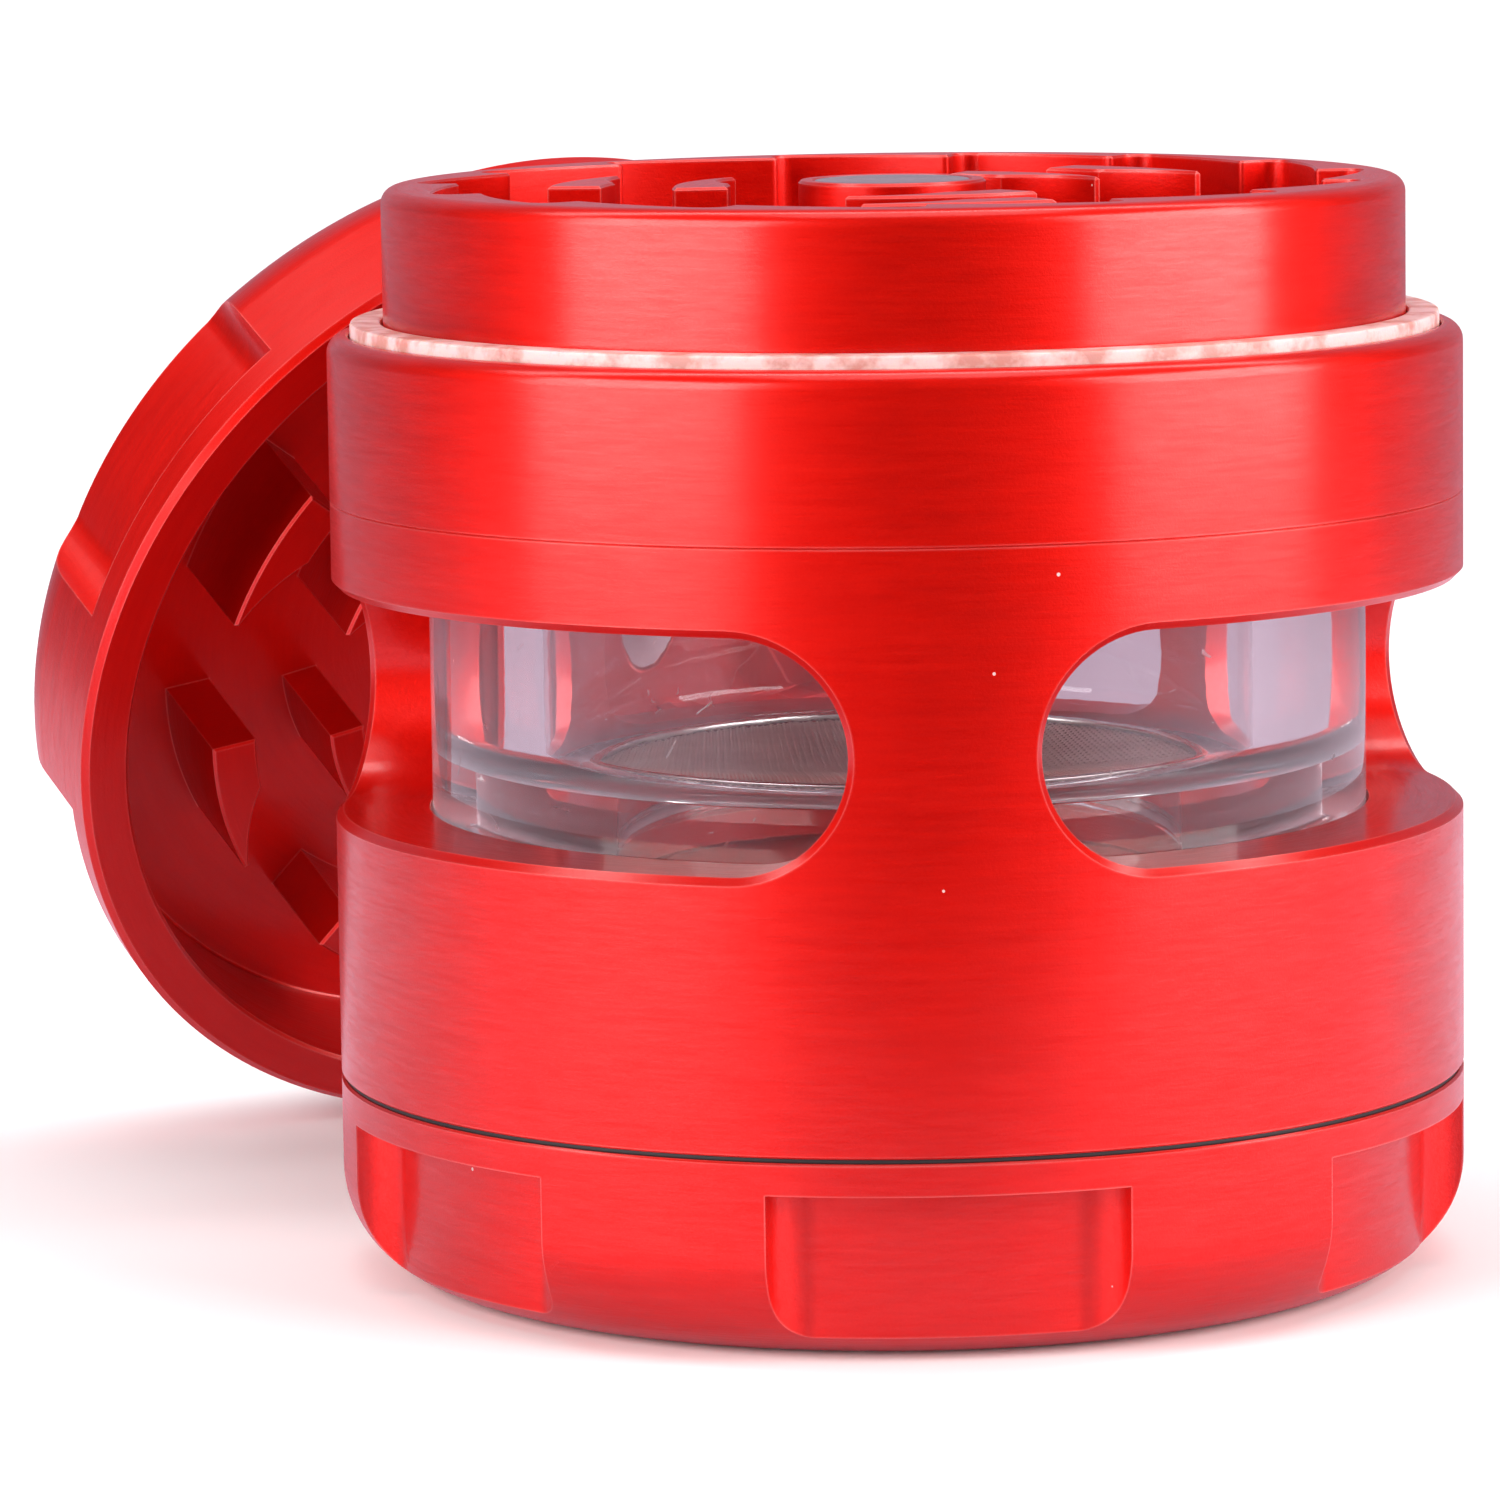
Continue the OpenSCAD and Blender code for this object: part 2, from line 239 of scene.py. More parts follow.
def makeWeaveTree():  # two crossing sets of wires, each passing over and under the other
    tree, groupIn, groupOut = startTree("woven wire", [
        ("Radius", "Float"), ("Pitch", "Float"), ("Wire Radius", "Float"), ("Wave", "Float"),
        ("Height", "Float"), ("Material", "Material")])
    radius, pitch = groupIn.outputs["Radius"], groupIn.outputs["Pitch"]
    side = calc(tree, "FLOOR", calc(tree, "DIVIDE", radius, pitch))
    count = calc(tree, "MULTIPLY_ADD", side, 2.0, 1.0)
    first = calc(tree, "MULTIPLY", calc(tree, "MULTIPLY", side, pitch), -1.0)
    start = addNode(tree, "ShaderNodeCombineXYZ", {"X": first})
    offset = addNode(tree, "ShaderNodeCombineXYZ", {"X": pitch})
    row = addNode(tree, "GeometryNodeMeshLine", {
        "Count": count, "Start Location": start.outputs[0], "Offset": offset.outputs[0]})
    place = addNode(tree, "ShaderNodeSeparateXYZ", {
        0: addNode(tree, "GeometryNodeInputPosition").outputs[0]})
    reach = calc(tree, "SQRT", calc(tree, "SUBTRACT", calc(tree, "MULTIPLY", radius, radius),
                                    calc(tree, "MULTIPLY", place.outputs[0], place.outputs[0])))
    whole = calc(tree, "MULTIPLY", calc(tree, "FLOOR", calc(tree, "DIVIDE", reach, pitch)), pitch)
    size = addNode(tree, "ShaderNodeCombineXYZ", {"X": 1.0, "Y": whole, "Z": 1.0})
    line = addNode(tree, "GeometryNodeCurvePrimitiveLine", {"Start": (0, -1, 0), "End": (0, 1, 0)})
    wires = addNode(tree, "GeometryNodeInstanceOnPoints", {
        "Points": row.outputs[0], "Instance": line.outputs[0], "Scale": size.outputs[0]})
    loose = addNode(tree, "GeometryNodeRealizeInstances", {"Geometry": wires.outputs[0]})
    stepped = addNode(tree, "GeometryNodeResampleCurve", {
        "Curve": loose.outputs[0], "Length": calc(tree, "MULTIPLY", pitch, 0.999)}, mode="LENGTH")
    spot = addNode(tree, "ShaderNodeSeparateXYZ", {
        0: addNode(tree, "GeometryNodeInputPosition").outputs[0]})
    phase = calc(tree, "MULTIPLY", calc(tree, "DIVIDE", calc(tree, "ADD", spot.outputs[0], spot.outputs[1]),
                                        pitch), math.pi)
    lift = calc(tree, "MULTIPLY", calc(tree, "COSINE", phase), groupIn.outputs["Wave"])
    waved = addNode(tree, "GeometryNodeSetPosition", {
        "Geometry": stepped.outputs[0],
        "Offset": addNode(tree, "ShaderNodeCombineXYZ", {"Z": lift}).outputs[0]})
    across = addNode(tree, "GeometryNodeTransform", {
        "Geometry": waved.outputs[0], "Rotation": (0, 0, math.pi / 2), "Scale": (1, 1, -1)})
    both = addNode(tree, "GeometryNodeJoinGeometry")
    tree.links.new(waved.outputs[0], both.inputs[0])
    tree.links.new(across.outputs[0], both.inputs[0])
    round_ = addNode(tree, "GeometryNodeCurvePrimitiveCircle", {
        "Resolution": 4, "Radius": groupIn.outputs["Wire Radius"]})
    solid = addNode(tree, "GeometryNodeCurveToMesh", {
        "Curve": both.outputs[0], "Profile Curve": round_.outputs[0], "Fill Caps": True})
    smooth = addNode(tree, "GeometryNodeSetShadeSmooth", {"Geometry": solid.outputs[0]})
    up = addNode(tree, "GeometryNodeTransform", {
        "Geometry": smooth.outputs[0],
        "Translation": addNode(tree, "ShaderNodeCombineXYZ", {"Z": groupIn.outputs["Height"]}).outputs[0]})
    endTree(tree, groupIn, groupOut, up.outputs[0])
    return tree


latheTree = makeLatheTree()
ringTree = makeRingTree()
weaveTree = makeWeaveTree()
segments = 240


def turned(name, section, material=None):  # section is (radius, height, corner size, corner steps)
    outline = roundCorners(section)
    path = 20.0
    verts = [(r - path, -z, 0) for r, z in outline]
    n = len(verts)
    solid = outline[0][0] == 0 and outline[-1][0] == 0  # a disc's section stays open on the axis
    thing = addObject(name, verts, edges=[(i, (i + 1) % n) for i in range(n - 1 if solid else n)])
    runTree(thing, latheTree, pathRadius=path * mm, segments=segments, material=material)
    return faceOut(thing)


def ringOf(item, count, startDegrees, material=None):
    return runTree(item, ringTree, count=count, startAngle=math.radians(startDegrees), material=material)


def finishPiece(thing, body, material, nodes, sharpDegrees=28):
    mesh = thing.data
    mesh.materials.clear()
    mesh.materials.append(material)
    for face in mesh.polygons:
        face.material_index = 0
        face.use_smooth = True
    mesh.set_sharp_from_angle(angle=math.radians(sharpDegrees))
    weigh = thing.modifiers.new("even shading", "WEIGHTED_NORMAL")
    weigh.keep_sharp = True
    weigh.weight = 80
    applyModifiers(thing)
    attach(thing, body)
    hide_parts(*nodes)
    print("made", thing.name, len(thing.data.polygons), "faces")
    return thing


def startGroup(name, inputs, outputs):
    tree = bpy.data.node_groups.new(name, "ShaderNodeTree")
    for label, kind, value in inputs:
        socket = tree.interface.new_socket(label, in_out="INPUT", socket_type="NodeSocket" + kind)
        if value is not None:
            socket.default_value = value
    for label, kind in outputs:
        tree.interface.new_socket(label, in_out="OUTPUT", socket_type="NodeSocket" + kind)
    return tree, tree.nodes.new("NodeGroupInput"), tree.nodes.new("NodeGroupOutput")


def makeTurningGroup():  # fine tool marks that run round the part's own axis
    tree, groupIn, groupOut = startGroup("lathe marks", [
        ("Vector", "Vector", None), ("Lines per Metre", "Float", 5000.0), ("Break Up", "Float", 60.0)],
        [("Height", "Float"), ("Streaks", "Float")])
    place = addNode(tree, "ShaderNodeSeparateXYZ", {0: groupIn.outputs["Vector"]})
    x, y, z = place.outputs
    r = calc(tree, "SQRT", calc(tree, "ADD", calc(tree, "MULTIPLY", x, x), calc(tree, "MULTIPLY", y, y)))
    lines, loose = groupIn.outputs["Lines per Metre"], groupIn.outputs["Break Up"]
    spread = addNode(tree, "ShaderNodeCombineXYZ", {
        "X": calc(tree, "MULTIPLY", r, lines), "Y": calc(tree, "MULTIPLY", z, lines),
        "Z": calc(tree, "MULTIPLY", x, loose)})
    fine = addNode(tree, "ShaderNodeTexNoise", {
        "Vector": spread.outputs[0], "W": calc(tree, "MULTIPLY", y, loose), "Scale": 1.0, "Detail": 2.0,
        "Roughness": 0.6}, noise_dimensions="4D")
    wide = addNode(tree, "ShaderNodeTexNoise", {
        "Vector": spread.outputs[0], "W": calc(tree, "MULTIPLY", y, loose), "Scale": 0.42, "Detail": 3.0,
        "Roughness": 0.65}, noise_dimensions="4D")
    tree.links.new(calc(tree, "MULTIPLY_ADD", wide.outputs[0], 0.5, fine.outputs[0]),
                   groupOut.inputs["Height"])
    tree.links.new(wide.outputs[0], groupOut.inputs["Streaks"])
    return tree


def makeGrainGroup():  # the soft speckle of blasted and dyed metal
    tree, groupIn, groupOut = startGroup("etched grain", [
        ("Vector", "Vector", None), ("Grain Scale", "Float", 9000.0), ("Cloud Scale", "Float", 90.0)],
        [("Grain", "Float"), ("Clouds", "Float")])
    grain = addNode(tree, "ShaderNodeTexNoise", {
        "Vector": groupIn.outputs["Vector"], "Scale": groupIn.outputs["Grain Scale"], "Detail": 2.0,
        "Roughness": 0.7})
    clouds = addNode(tree, "ShaderNodeTexNoise", {
        "Vector": groupIn.outputs["Vector"], "Scale": groupIn.outputs["Cloud Scale"], "Detail": 4.0,
        "Roughness": 0.6})
    tree.links.new(grain.outputs[0], groupOut.inputs["Grain"])
    tree.links.new(clouds.outputs[0], groupOut.inputs["Clouds"])
    return tree


def makeSpeckGroup():  # sparse dust specks and short hairline scratches
    tree, groupIn, groupOut = startGroup("dust and nicks", [
        ("Vector", "Vector", None), ("Speck Scale", "Float", 420.0), ("Speck Size", "Float", 0.05),
        ("Nick Scale", "Float", 260.0)],
        [("Specks", "Float"), ("Nicks", "Float")])
    cells = addNode(tree, "ShaderNodeTexVoronoi", {
        "Vector": groupIn.outputs["Vector"], "Scale": groupIn.outputs["Speck Scale"], "Randomness": 1.0})
    luck = addNode(tree, "ShaderNodeSeparateColor", {0: cells.outputs["Color"]})
    chosen = calc(tree, "GREATER_THAN", luck.outputs[0], 0.72)
    size = calc(tree, "MULTIPLY", calc(tree, "MULTIPLY_ADD", luck.outputs[1], 0.8, 0.3),
                groupIn.outputs["Speck Size"])
    specks = calc(tree, "MULTIPLY", calc(tree, "LESS_THAN", cells.outputs["Distance"], size), chosen)
    tree.links.new(specks, groupOut.inputs["Specks"])
    bent = addNode(tree, "ShaderNodeTexNoise", {
        "Vector": groupIn.outputs["Vector"], "Scale": groupIn.outputs["Nick Scale"], "Detail": 0.0})
    veins = calc(tree, "ABSOLUTE", calc(tree, "SUBTRACT", bent.outputs[0], 0.5))
    thin = calc(tree, "LESS_THAN", veins, 0.004)
    patches = addNode(tree, "ShaderNodeTexNoise", {
        "Vector": groupIn.outputs["Vector"], "Detail": 1.0,
        "Scale": calc(tree, "MULTIPLY", groupIn.outputs["Nick Scale"], 3.1)})
    tree.links.new(calc(tree, "MULTIPLY", thin, calc(tree, "GREATER_THAN", patches.outputs[0], 0.66)),
                   groupOut.inputs["Nicks"])
    return tree


def makeEdgeGroup():  # painted edge highlight, partly edge wear: how much the surface turns near an edge
    tree, groupIn, groupOut = startGroup("rubbed edges", [
        ("Radius", "Float", 0.00025), ("Breakup", "Float", 0.5)], [("Wear", "Float")])
    soft = addNode(tree, "ShaderNodeBevel", {"Radius": groupIn.outputs["Radius"]}, samples=4)
    flat = addNode(tree, "ShaderNodeNewGeometry")
    meet = addNode(tree, "ShaderNodeVectorMath", {0: soft.outputs[0], 1: flat.outputs["Normal"]},
                   operation="DOT_PRODUCT")
    bend = calc(tree, "SUBTRACT", 1.0, meet.outputs["Value"])
    gain = calc(tree, "MULTIPLY", bend, 6.0)
    tree.links.new(calc(tree, "MULTIPLY", calc(tree, "MINIMUM", gain, 1.0), groupIn.outputs["Breakup"]),
                   groupOut.inputs["Wear"])
    return tree


turningGroup = makeTurningGroup()
grainGroup = makeGrainGroup()
speckGroup = makeSpeckGroup()
edgeGroup = makeEdgeGroup()


def useGroup(tree, group, links):
    node = tree.nodes.new("ShaderNodeGroup")
    node.node_tree = group
    for key, source in links.items():
        if isinstance(source, bpy.types.NodeSocket):
            tree.links.new(source, node.inputs[key])
        else:
            node.inputs[key].default_value = source
    return node


def mixColour(tree, factor, first, second, blend="MIX"):
    node = addNode(tree, "ShaderNodeMix", data_type="RGBA", blend_type=blend)
    for socket, source in ((node.inputs[0], factor), (node.inputs[6], first), (node.inputs[7], second)):
        if isinstance(source, bpy.types.NodeSocket):
            tree.links.new(source, socket)
        else:
            socket.default_value = source
    return node.outputs[2]


socketLabels = {"Ior": "IOR", "Coat Ior": "Coat IOR", "Specular Level": "Specular IOR Level"}


def startMaterial(name, **settings):
    material = bpy.data.materials.new(name)
    material.use_nodes = True
    tree = material.node_tree
    shader = tree.nodes["Principled BSDF"]
    for key, value in settings.items():
        label = key[0].upper() + "".join(" " + c if c.isupper() else c for c in key[1:])
        label = socketLabels.get(label, label)
        shader.inputs[label].default_value = value
    return material, tree, shader


def bumpInto(tree, shader, height, strength, distance):
    bump = addNode(tree, "ShaderNodeBump", {"Strength": strength, "Distance": distance, "Height": height})
    tree.links.new(bump.outputs[0], shader.inputs["Normal"])


redDye = {
    "deep": (0.60, 0.0020, 0.0004, 1),
    "light": (0.78, 0.0080, 0.0016, 1),
    "worn": (0.95, 0.30, 0.27, 1),
    # edge colour: a painted pink edge highlight, partly edge wear
    "speck": (0.85, 0.62, 0.58, 1),
    "roughLow": 0.50,
    "roughHigh": 0.62,
    "coatRoughness": 0.22,
    "lines": 5200.0,
    "breakUp": 420.0,
    "bump": 0.5,
}


def makeRedMaterial(name, place=None):  # place is the part's own axis system when it doesn't stand upright
    material, tree, shader = startMaterial(
        name, metallic=1.0, ior=1.5, coatWeight=1.0, coatRoughness=redDye["coatRoughness"], coatIor=1.5)
    where = addNode(tree, "ShaderNodeTexCoord").outputs["Object"]
    if place is not None:
        spot, turn = place.decompose()[:2]
        where = addNode(tree, "ShaderNodeMapping", {
            "Vector": where, "Location": spot * mm, "Rotation": turn.to_euler()},
            vector_type="TEXTURE").outputs[0]
    marks = useGroup(tree, turningGroup, {
        "Vector": where, "Lines per Metre": redDye["lines"], "Break Up": redDye["breakUp"]})
    grain = useGroup(tree, grainGroup, {"Vector": where, "Grain Scale": 8000.0, "Cloud Scale": 110.0})
    dust = useGroup(tree, speckGroup, {"Vector": where, "Speck Scale": 330.0, "Speck Size": 0.035,
                                       "Nick Scale": 210.0})
    highlightAndWear = useGroup(tree, edgeGroup, {"Radius": 0.00018, "Breakup": grain.outputs["Clouds"]})
    tone = calc(tree, "ADD", calc(tree, "MULTIPLY", marks.outputs["Streaks"], 0.8),
                calc(tree, "MULTIPLY", grain.outputs["Grain"], 0.5))
    colour = mixColour(tree, calc(tree, "SUBTRACT", tone, 0.2), redDye["deep"], redDye["light"])
    # lighter pink along sharp edges from the bevel mask: painted edge highlight, partly edge wear
    colour = mixColour(tree, calc(tree, "MULTIPLY", highlightAndWear.outputs["Wear"], 0.9), colour, redDye["worn"])
    colour = mixColour(tree, dust.outputs["Specks"], colour, redDye["speck"])
    tree.links.new(colour, shader.inputs["Base Color"])
    spread = addNode(tree, "ShaderNodeMapRange", {
        "Value": calc(tree, "ADD", calc(tree, "MULTIPLY", grain.outputs["Clouds"], 0.6),
                      calc(tree, "MULTIPLY", marks.outputs["Streaks"], 0.4)),
        "From Min": 0.3, "From Max": 0.7, "To Min": redDye["roughLow"], "To Max": redDye["roughHigh"]})
    tree.links.new(calc(tree, "MULTIPLY_ADD", dust.outputs["Specks"], 0.3, spread.outputs[0]),
                   shader.inputs["Roughness"])
    relief = calc(tree, "ADD", marks.outputs["Height"], calc(tree, "MULTIPLY", grain.outputs["Grain"], 0.7))
    relief = calc(tree, "SUBTRACT", relief, calc(tree, "MULTIPLY", dust.outputs["Nicks"], 0.8))
    bumpInto(tree, shader, relief, redDye["bump"], 0.00004)
    gloss = addNode(tree, "ShaderNodeMapRange", {
        "Value": calc(tree, "ADD", calc(tree, "MULTIPLY", marks.outputs["Height"], 0.45),
                      calc(tree, "MULTIPLY", grain.outputs["Grain"], 0.4)),
        "From Min": 0.42, "From Max": 0.64, "To Min": 0.62, "To Max": 1.0})
    tree.links.new(gloss.outputs[0], shader.inputs["Coat Weight"])
    return material


def makeBlackRubber():
    material, tree, shader = startMaterial("black sealing rubber", roughness=0.6, specularLevel=0.4)
    where = addNode(tree, "ShaderNodeTexCoord").outputs["Object"]
    grain = useGroup(tree, grainGroup, {"Vector": where, "Grain Scale": 6000.0, "Cloud Scale": 300.0})
    colour = mixColour(tree, grain.outputs["Clouds"], (0.008, 0.007, 0.008, 1), (0.025, 0.02, 0.02, 1))
    tree.links.new(colour, shader.inputs["Base Color"])
    bumpInto(tree, shader, grain.outputs["Grain"], 0.3, 0.00003)
    return material


def makeClearMaterial(name, tint, ior, roughLow, roughHigh, waviness, film):  # film is a dusty veil
    material, tree, shader = startMaterial(
        name, transmissionWeight=1.0, ior=ior, sheenWeight=film, sheenRoughness=0.55,
        sheenTint=(0.9, 0.82, 0.93, 1))
    shader.inputs["Base Color"].default_value = tint
    where = addNode(tree, "ShaderNodeTexCoord").outputs["Object"]
    grain = useGroup(tree, grainGroup, {"Vector": where, "Grain Scale": 900.0, "Cloud Scale": 130.0})
    dust = useGroup(tree, speckGroup, {"Vector": where, "Speck Scale": 300.0, "Speck Size": 0.03,
                                       "Nick Scale": 160.0})
    hazy = addNode(tree, "ShaderNodeMapRange", {
        "Value": grain.outputs["Clouds"], "From Min": 0.42, "From Max": 0.7,
        "To Min": roughLow, "To Max": roughHigh})
    tree.links.new(calc(tree, "MULTIPLY_ADD", dust.outputs["Nicks"], 0.25, hazy.outputs[0]),
                   shader.inputs["Roughness"])
    bumpInto(tree, shader, grain.outputs["Clouds"], waviness, 0.0002)
    through = addNode(tree, "ShaderNodeBsdfTransparent", {"Color": (0.94, 0.94, 0.95, 1)})
    rays = addNode(tree, "ShaderNodeLightPath")
    mix = addNode(tree, "ShaderNodeMixShader")
    tree.links.new(rays.outputs["Is Shadow Ray"], mix.inputs[0])
    tree.links.new(shader.outputs[0], mix.inputs[1])
    tree.links.new(through.outputs[0], mix.inputs[2])
    tree.links.new(mix.outputs[0], tree.nodes["Material Output"].inputs["Surface"])
    return material


def makeBareMetal(name, deep, light, roughLow, roughHigh, lines, bump):
    material, tree, shader = startMaterial(name, metallic=1.0)
    where = addNode(tree, "ShaderNodeTexCoord").outputs["Object"]
    marks = useGroup(tree, turningGroup, {"Vector": where, "Lines per Metre": lines, "Break Up": 300.0})
    grain = useGroup(tree, grainGroup, {"Vector": where, "Grain Scale": 9000.0, "Cloud Scale": 400.0})
    colour = mixColour(tree, grain.outputs["Clouds"], deep, light)
    tree.links.new(colour, shader.inputs["Base Color"])
    rough = addNode(tree, "ShaderNodeMapRange", {
        "Value": marks.outputs["Streaks"], "From Min": 0.3, "From Max": 0.7,
        "To Min": roughLow, "To Max": roughHigh})
    tree.links.new(rough.outputs[0], shader.inputs["Roughness"])
    bumpInto(tree, shader, marks.outputs["Height"], bump, 0.00002)
    return material


def makeSlipPlastic():  # milky plastic, mottled with random red-brown patches
    material, tree, shader = startMaterial(
        "milky slip plastic", roughness=0.42, subsurfaceWeight=0.3, subsurfaceScale=0.001)
    where = addNode(tree, "ShaderNodeTexCoord").outputs["Object"]
    grain = useGroup(tree, grainGroup, {"Vector": where, "Grain Scale": 2500.0, "Cloud Scale": 500.0})
    mottle = addNode(tree, "ShaderNodeMapRange", {
        "Value": grain.outputs["Clouds"], "From Min": 0.38, "From Max": 0.56, "To Min": 0.0, "To Max": 1.0})
    colour = mixColour(tree, mottle.outputs[0], (0.60, 0.27, 0.23, 1), (0.80, 0.58, 0.56, 1))
    tree.links.new(colour, shader.inputs["Base Color"])
    bumpInto(tree, shader, grain.outputs["Grain"], 0.4, 0.00005)
    return material


lidPlace = {"x": -17.3, "y": 38.0, "z": 28.7026, "tilt": 113.7, "azimuth": -65.3, "roll": 32.9}


def lidMatrix():
    p = lidPlace
    return (Matrix.Translation((p["x"], p["y"], p["z"]))
            @ Matrix.Rotation(math.radians(p["azimuth"]), 4, "Z")
            @ Matrix.Rotation(math.radians(p["tilt"]), 4, "Y")
            @ Matrix.Rotation(math.radians(p["roll"]), 4, "Z"))


redUpright = makeRedMaterial("red dyed aluminium")
redLeaning = makeRedMaterial("red dyed aluminium of the lid", lidMatrix())
rubber = makeBlackRubber()
silicone = makeClearMaterial("clear silicone", (0.93, 0.94, 0.95, 1), 1.41, 0.25, 0.4, 0.2, 0.0)
clearGlass = makeClearMaterial("clear window glass", (0.96, 0.94, 0.96, 1), 1.49, 0.0, 0.05, 0.05, 0.35)
wire = makeBareMetal("screen wire", (0.60, 0.51, 0.47, 1), (0.86, 0.78, 0.74, 1), 0.3, 0.45, 9000.0, 0.1)
steel = makeBareMetal(
    "pressed steel", (0.55, 0.53, 0.51, 1), (0.75, 0.73, 0.71, 1), 0.2, 0.35, 6000.0, 0.15)
nickel = makeBareMetal(
    "nickel plate", (0.66, 0.63, 0.58, 1), (0.86, 0.83, 0.78, 1), 0.08, 0.25, 7000.0, 0.2)
slipPlastic = makeSlipPlastic()
print("materials ready")


dimples = {"count": 6, "halfAngle": 13.3, "floorRadius": 29.3, "cutterRadius": 2.5, "dip": 0.05}


def dimpleCutter(low, high, steps=10):
    d = dimples
    track = d["floorRadius"] + d["cutterRadius"] - d["dip"]
    outline = []
    for k in range(-16, 17):  # the floor follows the axis
        outline.append(polar(d["floorRadius"], d["halfAngle"] * k / 16))
    for k in range(1, steps + 1):  # one end, where the round cutter stopped
        t = math.radians(-180 + 90 * k / steps)
        x, y = track + d["cutterRadius"] * math.cos(t), -d["cutterRadius"] * math.sin(t)
        a = math.radians(d["halfAngle"])
        outline.append((x * math.cos(a) - y * math.sin(a), x * math.sin(a) + y * math.cos(a)))
    outline.append(polar(36, d["halfAngle"] + 5))
    outline.append(polar(37, 0))
    outline.append(polar(36, -d["halfAngle"] - 5))
    for k in range(steps, 0, -1):
        t = math.radians(-180 + 90 * k / steps)
        x, y = track + d["cutterRadius"] * math.cos(t), d["cutterRadius"] * math.sin(t)
        a = math.radians(-d["halfAngle"])
        outline.append((x * math.cos(a) - y * math.sin(a), x * math.sin(a) + y * math.cos(a)))
    return ringOf(prism("dimple cutter", outline, low, high), d["count"], -90)


baseCup = {"radius": 31.5, "height": 11.05, "edgeRound": 6.0, "bore": 25.0, "floor": 2.6, "mouth": 27.1,
           "mouthFloor": 7.6, "dimpleTop": 9.3}


def makeBaseCup():
    b = baseCup
    cup = turned("baseCup", [
        (0, 0, 0, 0), (b["radius"], 0, b["edgeRound"], 20),
        (b["radius"], b["height"], 0.12, 1), (b["mouth"], b["height"], 0.25, 1),
        (b["mouth"], b["mouthFloor"], 0.1, 1), (b["bore"], b["mouthFloor"], 0.2, 1),
        (b["bore"], b["floor"], 3.4, 10), (0, b["floor"], 0, 0)])
    cutAway(cup, dimpleCutter(-1, b["dimpleTop"]))
    return finishPiece(cup, "base", redUpright, ["base_cup"])


# plain rings: inner and outer radius, low and high face, rounding of the edges
flatRings = {
    "baseWasher": {"inner": 27.1, "outer": 31.3, "low": 11.05, "high": 11.3, "edge": 0.05},
    "lowerSeal": {"inner": 20.8, "outer": 26.1, "low": 23.4, "high": 24.2, "edge": 0.15},
    "screenRing": {"inner": 16.7, "outer": 17.4, "low": 28.5, "high": 28.85, "edge": 0.08},
    "upperSeal": {"inner": 20.8, "outer": 26.1, "low": 39.4, "high": 40.2, "edge": 0.15},
    "collarWasher": {"inner": 28.7, "outer": 29.9, "low": 42.7, "high": 43.3, "edge": 0.08},
    "slipRing": {"inner": 28.47, "outer": 30.2, "low": 52.0, "high": 53.2, "edge": 0.2},
}


def flatRing(name, body, material, node):
    f = flatRings[name]
    corners = [(f["inner"], f["low"]), (f["outer"], f["low"]),
               (f["outer"], f["high"]), (f["inner"], f["high"])]
    ring = turned(name, [corner + (f["edge"], 2) for corner in corners])
    return finishPiece(ring, body, material, [node])


housing = {"radius": 31.5, "low": 11.3, "high": 43.3, "spigot": 27.0, "spigotLow": 8.2, "dropBore": 24.6,
           "shelfRadius": 20.5, "shelfLow": 21.4, "shelfHigh": 23.4, "insertBore": 26.25, "threadLow": 39.9,
           "threadBore": 28.6, "washerBore": 30.0, "washerFloor": 42.7, "windows": 3, "windowHeight": 12.56,
           "windowMid": 32.3, "pillarHalf": 9.5, "windowEdge": 0.42}


def windowCutter():
    h = housing
    half = h["windowHeight"] / 2
    endAngle = math.degrees(math.asin(half / h["radius"]))
    centre = 180 / h["windows"] - h["pillarHalf"] - endAngle
    steps, run = 18, 40
    rings = []
    flare = 1.2
    edge = h["windowEdge"]
    for r, grow in ((22.0, 0.0), (h["radius"] - edge, 0.0), (h["radius"] + flare, edge + flare)):
        size = half + grow
        top = []
        for k in range(steps + 1):  # left round, from its far point to the top
            t = math.radians(180 - 90 * k / steps)
            top.append((-centre + math.degrees(math.asin(size * math.cos(t) / r)), size * math.sin(t)))
        for k in range(1, run):
            top.append((-centre + 2 * centre * k / run, size))
        for k in range(steps + 1):
            t = math.radians(90 - 90 * k / steps)
            top.append((centre + math.degrees(math.asin(size * math.cos(t) / r)), size * math.sin(t)))
        bottom = [(a, -z) for a, z in reversed(top[1:-1])]
        rings.append([polar(r, a) + (h["windowMid"] + z,) for a, z in top + bottom])
    count, upper = len(rings[0]), len(top)
    verts = [v for ring in rings for v in ring]
    faces = []
    for k in range(2):
        for i in range(count):
            j = (i + 1) % count
            faces.append((k * count + i, k * count + j, (k + 1) * count + j, (k + 1) * count + i))
    for base in (0, 2 * count):  # curved end caps in strips from top to bottom
        for i in range(upper - 1):
            a, b = i, i + 1
            c, d = (count - b) % count, (count - a) % count
            ids = []
            for q in (a, b, c, d):
                if base + q not in ids:
                    ids.append(base + q)
            if len(ids) > 2:
                faces.append(tuple(ids))
    return ringOf(faceOut(addObject("window cutter", verts, faces)), h["windows"], -30)


